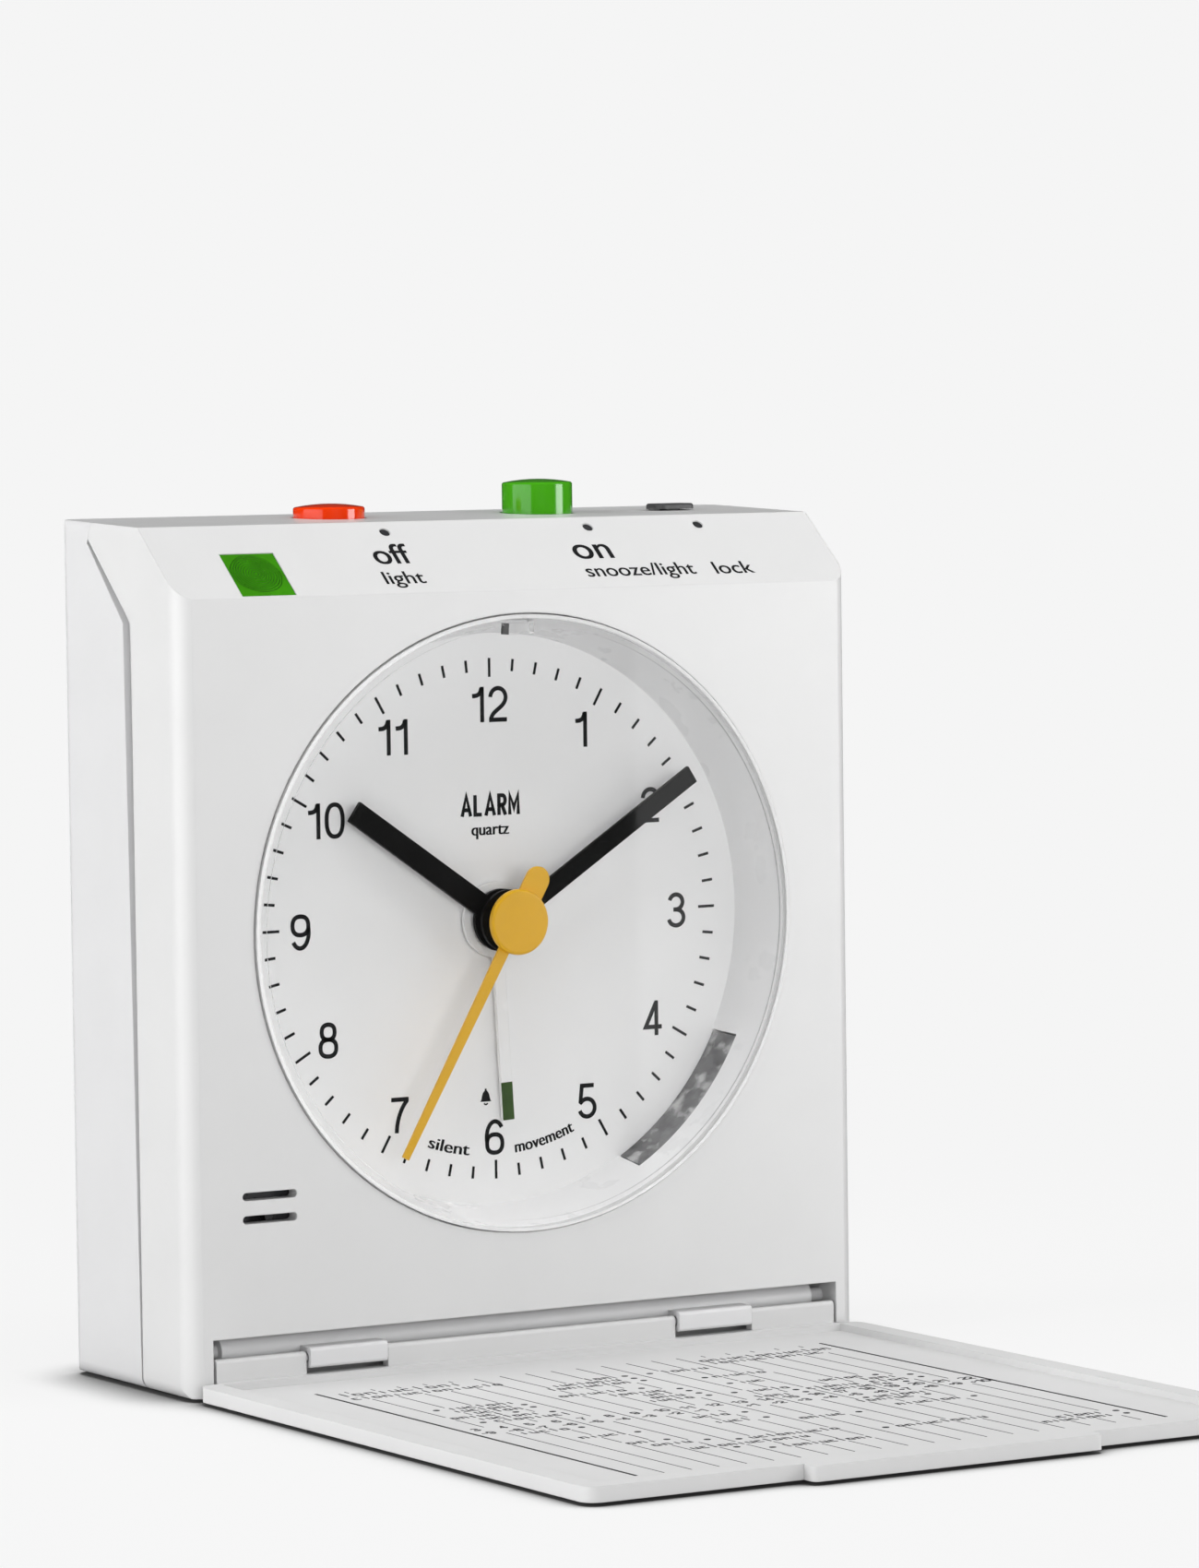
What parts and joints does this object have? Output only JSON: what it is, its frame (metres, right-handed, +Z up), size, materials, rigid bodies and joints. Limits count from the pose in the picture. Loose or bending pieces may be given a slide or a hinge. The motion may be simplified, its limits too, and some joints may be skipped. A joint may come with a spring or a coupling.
{
  "type": "travel alarm clock",
  "caption": "Folding travel alarm clock: upright case with round dial and hands, fold-down front lid, two rocker-linked top buttons and a lock slider.",
  "frame": {"origin": "middle of the case's bottom face, on the table", "axes": "+Z up, -Y towards the viewer of the dial, +X to the dial's right"},
  "size_m": [0.075, 0.0986, 0.0857],
  "materials": {
    "white_case": "fine satin white moulding",
    "white_back": "fine satin white moulding",
    "white_lid": "satin white moulding with a printed inner face",
    "hinge_white": "satin white moulding",
    "crystal_clear": "clear polished",
    "ring_white": "satin white",
    "guide_clear": "clear moulded, slightly frosted",
    "lamp_glass": "clear bulb",
    "dial_white": "matt white paint with black printing",
    "hand_black": "matt black paint",
    "hand_yellow": "yellow paint",
    "hand_alarm": "white paint with a dark green tip",
    "gear_resin": "natural resin",
    "brass_parts": "turned and stamped brass",
    "magnet": "sintered magnet with a resin pinion",
    "knob_grey": "ribbed grey moulding",
    "movement_resin": "dark moulding",
    "steel_parts": "bright steel",
    "copper_wire": "lacquered copper winding",
    "board_green": "coated board",
    "chip_black": "black resin drop",
    "can_metal": "drawn can",
    "window_green": "translucent green with fine rings",
    "sensor_black": "dark moulding",
    "battery_wrap": "plain wrapped cell",
    "button_green": "glossy green",
    "button_red": "glossy orange red",
    "slider_grey": "textured dark grey"
  },
  "bodies": {
    "case": {"battery": "battery_wrap", "buzzer": "sensor_black", "capacitor": "can_metal", "case_screws": "steel_parts", "chip": "chip_black", "circuit_board": "board_green", "coil": "copper_wire", "coil_core": "steel_parts", "contact_minus": "steel_parts", "contact_plus": "steel_parts", "contact_spring": "steel_parts", "crystal": "crystal_clear", "dial_lamp": "lamp_glass", "dial_plate": "dial_white", "dial_ring": "ring_white", "front_shell": "white_case", "hinge_bar": "hinge_white", "light_guide": "guide_clear", "motion_sensor": "sensor_black", "movement_back": "movement_resin", "movement_front": "movement_resin", "movement_screws": "steel_parts", "quartz_can": "can_metal", "rear_shell": "white_back", "rocker_pin": "steel_parts", "sensor_window": "window_green", "stator": "steel_parts", "switch_leaf": "brass_parts"},
    "second": {"second_hand": "hand_yellow", "second_wheel": "brass_parts"},
    "minute": {"minute_hand": "hand_black", "minute_wheel": "gear_resin"},
    "hour": {"hour_hand": "hand_black", "hour_wheel": "gear_resin"},
    "alarm": {"alarm_hand": "hand_alarm", "alarm_wheel": "gear_resin"},
    "rotor_body": {"rotor": "magnet"},
    "fifth": {"fifth_wheel": "gear_resin"},
    "third": {"third_wheel": "gear_resin"},
    "reduction": {"reduction_wheel": "gear_resin"},
    "time_set": {"time_set_arbor": "brass_parts", "time_set_knob": "knob_grey"},
    "alarm_set": {"alarm_set_arbor": "brass_parts", "alarm_set_knob": "knob_grey"},
    "front_lid": {"lid": "white_lid", "hinge_pins": "steel_parts"},
    "green": {"green_button": "button_green"},
    "red": {"red_button": "button_red"},
    "rocker_body": {"rocker": "movement_resin"},
    "slider": {"lock_slider": "slider_grey"},
    "door": {"battery_door": "white_back"}
  },
  "joints": [
    {"name": "lid_hinge", "type": "hinge", "parent": "case", "child": "front_lid", "pos_m": [0, -0.01195, 0.00295], "axis": [-1, 0, 0], "range_deg": [0, 90]},
    {"name": "second_turn", "type": "hinge", "parent": "case", "child": "second", "pos_m": [0, -0.0025, 0.0431], "axis": [0, 1, 0], "continuous": true},
    {"name": "minute_turn", "type": "hinge", "parent": "case", "child": "minute", "pos_m": [0, -0.0025, 0.0431], "axis": [0, 1, 0], "continuous": true},
    {"name": "hour_turn", "type": "hinge", "parent": "case", "child": "hour", "pos_m": [0, -0.0025, 0.0431], "axis": [0, 1, 0], "continuous": true},
    {"name": "third_turn", "type": "hinge", "parent": "case", "child": "third", "pos_m": [-0.00721, 0.0005, 0.03589], "axis": [0, 1, 0], "continuous": true},
    {"name": "fifth_turn", "type": "hinge", "parent": "case", "child": "fifth", "pos_m": [0.00619, 0.0025, 0.03691], "axis": [0, 1, 0], "continuous": true},
    {"name": "rotor_turn", "type": "hinge", "parent": "case", "child": "rotor_body", "pos_m": [0.01295, 0.0005, 0.03445], "axis": [0, 1, 0], "continuous": true},
    {"name": "reduction_turn", "type": "hinge", "parent": "case", "child": "reduction", "pos_m": [0.00233, -0.0015, 0.05179], "axis": [0, 1, 0], "continuous": true},
    {"name": "time_set_turn", "type": "hinge", "parent": "case", "child": "time_set", "pos_m": [0.01127, 0.0025, 0.05074], "axis": [0, 1, 0], "continuous": true},
    {"name": "alarm_set_turn", "type": "hinge", "parent": "case", "child": "alarm_set", "pos_m": [-0.00764, 0.0025, 0.05074], "axis": [0, 1, 0], "continuous": true},
    {"name": "alarm_turn", "type": "hinge", "parent": "case", "child": "alarm", "pos_m": [0, -0.0025, 0.0431], "axis": [0, 1, 0], "continuous": true},
    {"name": "green_press", "type": "slide", "parent": "case", "child": "green", "axis": [0, 0, -1], "range_m": [0, 0.002]},
    {"name": "red_press", "type": "slide", "parent": "case", "child": "red", "axis": [0, 0, -1], "range_m": [-0.002, 0]},
    {"name": "rocker_tilt", "type": "hinge", "parent": "case", "child": "rocker_body", "pos_m": [0, 0.0041, 0.0705], "axis": [0, 1, 0], "range_deg": [0, 9.7]},
    {"name": "lock_slide", "type": "slide", "parent": "case", "child": "slider", "axis": [-1, 0, 0], "range_m": [0, 0.0028]},
    {"name": "door_hinge", "type": "hinge", "parent": "case", "child": "door", "pos_m": [0, 0.01175, 0.00395], "axis": [-1, 0, 0], "range_deg": [0, 90]}
  ],
  "couplings": [
    {"joint": "minute_turn", "follows": "second_turn", "ratio": 0.016667},
    {"joint": "hour_turn", "follows": "second_turn", "ratio": 0.0013889},
    {"joint": "third_turn", "follows": "second_turn", "ratio": -0.13333},
    {"joint": "fifth_turn", "follows": "second_turn", "ratio": -6},
    {"joint": "rotor_turn", "follows": "second_turn", "ratio": 30},
    {"joint": "reduction_turn", "follows": "second_turn", "ratio": -0.0055556},
    {"joint": "time_set_turn", "follows": "second_turn", "ratio": 0.016667},
    {"joint": "alarm_turn", "follows": "alarm_set_turn", "ratio": -0.5},
    {"joint": "red_press", "follows": "green_press", "ratio": -1},
    {"joint": "rocker_tilt", "follows": "green_press", "rad_per_m": 84.544}
  ]
}
